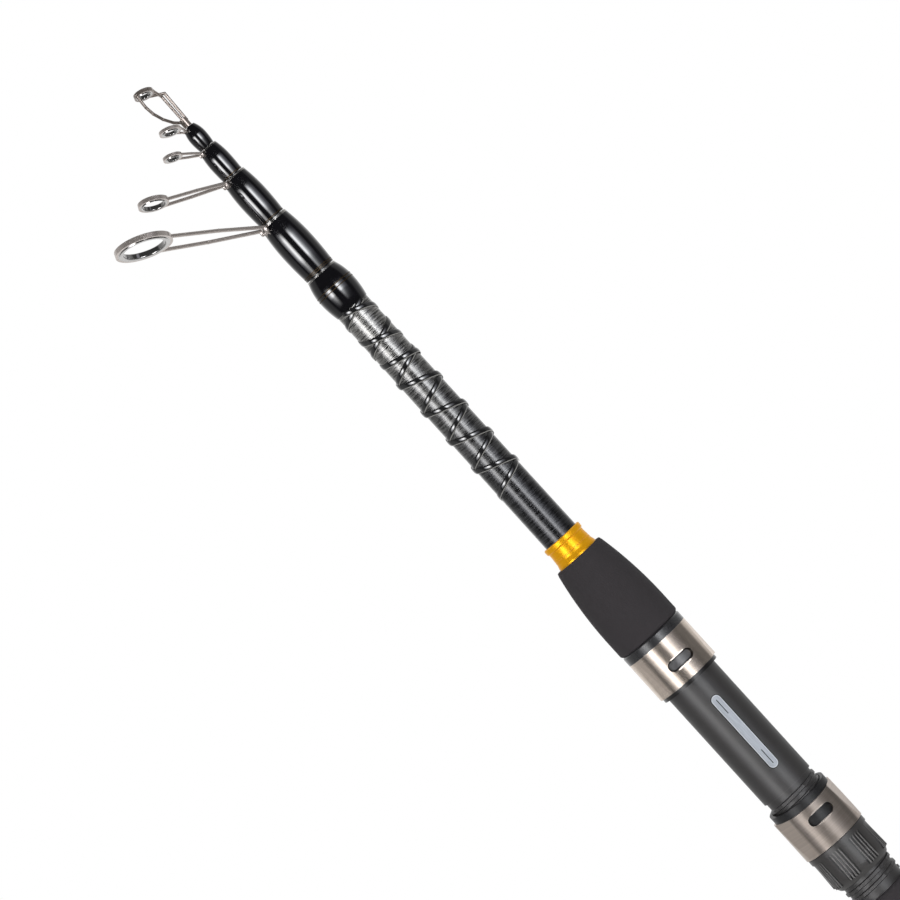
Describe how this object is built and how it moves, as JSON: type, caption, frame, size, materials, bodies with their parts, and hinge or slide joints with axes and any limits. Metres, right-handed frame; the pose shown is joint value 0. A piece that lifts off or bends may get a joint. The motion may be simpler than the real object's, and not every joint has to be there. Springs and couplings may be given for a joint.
{
  "type": "telescopic fishing rod",
  "caption": "Closed telescopic spinning rod with wire line guides, foam grips and a screw-down reel seat; its sections draw out along the axis.",
  "frame": {"origin": "centre of the butt pad's flat end face, on the rod axis", "axes": "+Z along the rod axis towards the tip, -Y out of the reel seat's plain front, +Y out of the side where the reel foot sits"},
  "size_m": [0.0664, 0.0501, 0.4959],
  "materials": {
    "blank": "satin composite tube with fine rings",
    "lacquer": "gloss black lacquer",
    "tape": "gloss black tape",
    "bright_ring": "polished",
    "gold_thread": "metallic gold",
    "gold_metal": "gold anodised",
    "foam": "matte dark grey foam",
    "hood_metal": "champagne satin",
    "black_plastic": "satin black",
    "seat_plastic": "satin dark grey",
    "badge_metal": "plain brushed plate",
    "arbor": "plain",
    "rubber": "matte",
    "guide_wire": "polished",
    "line_ring": "bright polished"
  },
  "bodies": {
    "handle": {"handle_blank": "blank", "handle_wrap": "lacquer", "handle_mouth_ring": "bright_ring", "handle_trim": "gold_thread", "cross_wrap_right": "tape", "cross_wrap_left": "tape", "winding_check": "gold_metal", "foregrip": "foam", "front_ring": "black_plastic", "fixed_hood": "hood_metal", "fixed_hood_liner": "black_plastic", "reel_seat_body": "seat_plastic", "seat_badge": "badge_metal", "seat_arbors": "arbor", "rear_grip": "foam", "butt_bush": "hood_metal"},
    "hood": {"moving_hood": "hood_metal", "moving_hood_liner": "black_plastic"},
    "nut": {"lock_nut": "seat_plastic"},
    "gasket": {"cap_gasket": "rubber"},
    "cap": {"butt_cap": "gold_metal", "butt_pad": "rubber"},
    "section_five": {"five_blank": "lacquer", "five_wrap": "lacquer", "five_mouth_ring": "bright_ring", "five_trim": "gold_thread", "five_guide_frame": "guide_wire", "five_guide_ring": "line_ring"},
    "section_four": {"four_blank": "lacquer", "four_wrap": "lacquer", "four_mouth_ring": "bright_ring", "four_trim": "gold_thread", "four_guide_frame": "guide_wire", "four_guide_ring": "line_ring"},
    "section_three": {"three_blank": "lacquer", "three_wrap": "lacquer", "three_mouth_ring": "bright_ring", "three_trim": "gold_thread", "three_guide_frame": "guide_wire", "three_guide_ring": "line_ring"},
    "section_two": {"two_blank": "lacquer", "two_wrap": "lacquer", "two_guide_frame": "guide_wire", "two_guide_ring": "line_ring"},
    "section_tip": {"tip_blank": "lacquer", "tip_top_frame": "guide_wire", "tip_top_ring": "line_ring"}
  },
  "joints": [
    {"name": "five_slide", "type": "slide", "parent": "handle", "child": "section_five", "axis": [0, 0, 1], "range_m": [0, 0.3445]},
    {"name": "four_slide", "type": "slide", "parent": "section_five", "child": "section_four", "axis": [0, 0, 1], "range_m": [0, 0.3695]},
    {"name": "three_slide", "type": "slide", "parent": "section_four", "child": "section_three", "axis": [0, 0, 1], "range_m": [0, 0.39]},
    {"name": "two_slide", "type": "slide", "parent": "section_three", "child": "section_two", "axis": [0, 0, 1], "range_m": [0, 0.4035]},
    {"name": "tip_slide", "type": "slide", "parent": "section_two", "child": "section_tip", "axis": [0, 0, 1], "range_m": [0, 0.412]},
    {"name": "hood_slide", "type": "slide", "parent": "handle", "child": "hood", "axis": [0, 0, 1], "range_m": [-0.0086, 0.0201]},
    {"name": "nut_turn", "type": "hinge", "parent": "hood", "child": "nut", "pos_m": [0, 0, 0.132], "axis": [0, 0, 1], "range_deg": [-1020, 2400]},
    {"name": "cap_slide", "type": "slide", "parent": "handle", "child": "gasket", "axis": [0, 0, -1], "range_m": [-0.0001, 0.0121]},
    {"name": "cap_turn", "type": "hinge", "parent": "gasket", "child": "cap", "pos_m": [0, 0, 0.006], "axis": [0, 0, -1], "range_deg": [0, 2880]}
  ],
  "couplings": [
    {"joint": "hood_slide", "follows": "nut_turn", "m_per_rad": 0.00047746},
    {"joint": "cap_slide", "follows": "cap_turn", "m_per_rad": 0.00023873}
  ]
}
